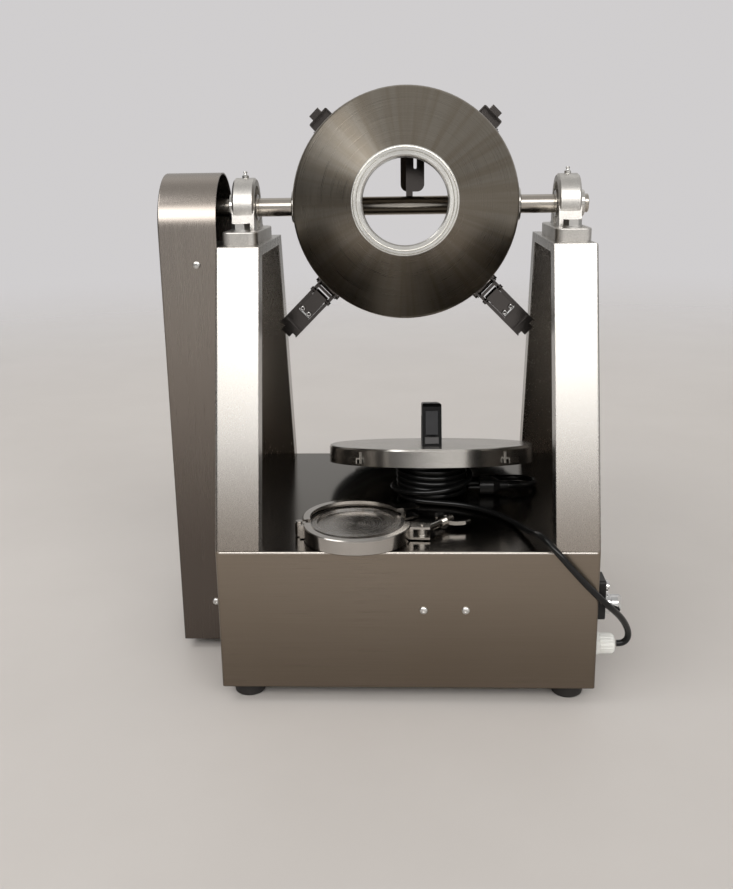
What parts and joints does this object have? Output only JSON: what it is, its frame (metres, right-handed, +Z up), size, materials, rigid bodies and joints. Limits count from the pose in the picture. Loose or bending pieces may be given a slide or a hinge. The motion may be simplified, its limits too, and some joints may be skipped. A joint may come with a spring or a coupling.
{
  "type": "powder mixer",
  "caption": "Tabletop tilted drum mixer for powders on a folded sheet base with two tapered uprights, pillow block bearings, a guarded belt drive, toggle latches, loose lid, clamp and cap",
  "frame": {"origin": "on the floor under the middle of the base", "axes": "X to the right along the drum shaft, Y away from the front, Z up"},
  "size_m": [0.5015, 0.3842, 0.6291],
  "materials": {
    "stainless": "vertically brushed stainless sheet",
    "deck": "bright stainless sheet",
    "drum": "turned and satin stainless",
    "polished": "polished stainless",
    "clamp": "investment cast and polished stainless",
    "chrome": "plated",
    "bearing": "painted or plated casting",
    "zinc": "plated steel",
    "black_steel": "oiled black steel",
    "shaft": "ground steel bar",
    "cast": "dark cast iron",
    "belt": "rubber belt",
    "aluminium": "die cast",
    "rubber": "matt rubber",
    "gasket": "white silicone",
    "black_plastic": "moulded plastic",
    "gland": "off-white nylon",
    "cord": "smooth sheath",
    "plug": "moulded plug"
  },
  "bodies": {
    "frame": {"base_shell": "stainless", "deck_plate": "deck", "rubber_feet": "rubber", "foot_screws": "zinc", "left_upright": "stainless", "right_upright": "stainless", "bearing_housings": "bearing", "bearing_outer_rings": "zinc", "grease_nipples": "zinc", "bearing_bolts": "zinc", "bearing_washers": "zinc", "drive_belt": "belt", "gearhead": "aluminium", "gear_motor": "aluminium", "motor_bracket": "zinc", "motor_screws": "zinc", "motor_capacitor": "aluminium", "guard_cover": "stainless", "guard_brackets": "zinc", "guard_screws": "zinc", "switch_plate": "black_plastic", "switch_collars": "chrome", "gland_body": "gland", "gland_nuts": "gland", "cord_tube": "cord", "cord_tail": "cord", "cord_coil": "cord", "plug": "plug"},
    "drum": {"bearing_inner_rings": "zinc", "set_screws": "black_steel", "drive_shaft": "shaft", "drum_shell": "drum", "shaft_bosses": "drum", "mouth_ferrule": "polished", "paddle": "drum", "latch_bases": "polished", "drum_pulley": "cast"},
    "motor_output": {"motor_shaft": "shaft", "motor_pulley": "cast"},
    "lid": {"lid_pan": "drum", "lid_gasket": "gasket", "lid_handle": "black_plastic", "lid_screws": "zinc", "lid_keepers": "polished"},
    "cap": {"end_cap": "polished", "cap_gasket": "gasket", "clamp_rear": "clamp"},
    "clamp_half": {"clamp_front": "clamp"},
    "bolt": {"swing_bolt": "polished"},
    "nut": {"wing_nut": "polished"},
    "knob": {"selector_knob": "chrome"},
    "button": {"push_button": "chrome"},
    "lever_1": {"latch_lever_1": "polished"},
    "claw_1": {"latch_claw_1": "polished"},
    "lever_2": {"latch_lever_2": "polished"},
    "claw_2": {"latch_claw_2": "polished"},
    "lever_3": {"latch_lever_3": "polished"},
    "claw_3": {"latch_claw_3": "polished"},
    "lever_4": {"latch_lever_4": "polished"},
    "claw_4": {"latch_claw_4": "polished"}
  },
  "joints": [
    {"name": "drum_spin", "type": "hinge", "parent": "frame", "child": "drum", "pos_m": [0, 0, 0.506], "axis": [1, 0, 0], "continuous": true},
    {"name": "motor_spin", "type": "hinge", "parent": "frame", "child": "motor_output", "pos_m": [0, 0, 0.0996], "axis": [1, 0, 0], "continuous": true},
    {"name": "lever_1_swing", "type": "hinge", "parent": "drum", "child": "lever_1", "pos_m": [0.09122, 0.06422, 0.59295], "axis": [-0.7071, 0.0493, 0.7054], "range_deg": [0, 90]},
    {"name": "claw_1_swing", "type": "hinge", "parent": "lever_1", "child": "claw_1", "pos_m": [0.09122, 0.05026, 0.59393], "axis": [-0.7071, 0.0493, 0.7054], "range_deg": [0, 100]},
    {"name": "lever_2_swing", "type": "hinge", "parent": "drum", "child": "lever_2", "pos_m": [-0.09122, 0.06422, 0.59295], "axis": [-0.7071, -0.0493, -0.7054], "range_deg": [0, 90]},
    {"name": "claw_2_swing", "type": "hinge", "parent": "lever_2", "child": "claw_2", "pos_m": [-0.09122, 0.05026, 0.59393], "axis": [-0.7071, -0.0493, -0.7054], "range_deg": [0, 100]},
    {"name": "lever_3_swing", "type": "hinge", "parent": "drum", "child": "lever_3", "pos_m": [-0.09122, 0.0515, 0.41096], "axis": [-0.7071, 0.0493, 0.7054], "range_deg": [0, 90]},
    {"name": "claw_3_swing", "type": "hinge", "parent": "lever_3", "child": "claw_3", "pos_m": [-0.10112, 0.05081, 0.40108], "axis": [0.7071, -0.0493, -0.7054], "range_deg": [0, 100]},
    {"name": "lever_4_swing", "type": "hinge", "parent": "drum", "child": "lever_4", "pos_m": [0.09122, 0.0515, 0.41096], "axis": [-0.7071, -0.0493, -0.7054], "range_deg": [0, 90]},
    {"name": "claw_4_swing", "type": "hinge", "parent": "lever_4", "child": "claw_4", "pos_m": [0.10112, 0.05081, 0.40108], "axis": [0.7071, 0.0493, 0.7054], "range_deg": [0, 100]},
    {"name": "lid_lift", "type": "slide", "parent": "frame", "child": "lid", "axis": [0, 0, 1], "range_m": [0, 0.04]},
    {"name": "cap_lift", "type": "slide", "parent": "frame", "child": "cap", "axis": [0, 0, 1], "range_m": [0, 0.04]},
    {"name": "clamp_open", "type": "hinge", "parent": "cap", "child": "clamp_half", "pos_m": [-0.11397, -0.13716, 0.1783], "axis": [0, 0, 1], "range_deg": [-45, 21]},
    {"name": "bolt_swing", "type": "hinge", "parent": "clamp_half", "child": "bolt", "pos_m": [0.016, -0.1449, 0.1783], "axis": [0, 0, 1], "range_deg": [-70, 10]},
    {"name": "nut_turn", "type": "hinge", "parent": "bolt", "child": "nut", "pos_m": [0.016, -0.1449, 0.1783], "axis": [0.6293, 0.7771, 0], "range_deg": [-15, 15]},
    {"name": "knob_turn", "type": "hinge", "parent": "frame", "child": "knob", "pos_m": [0.2, -0.16, 0.104], "axis": [1, 0, 0], "range_deg": [0, 90]},
    {"name": "button_press", "type": "slide", "parent": "frame", "child": "button", "axis": [-1, 0, 0], "range_m": [0, 0.0015], "stiffness_N_per_m": 400}
  ],
  "couplings": [
    {"joint": "motor_spin", "follows": "drum_spin", "ratio": 1}
  ]
}
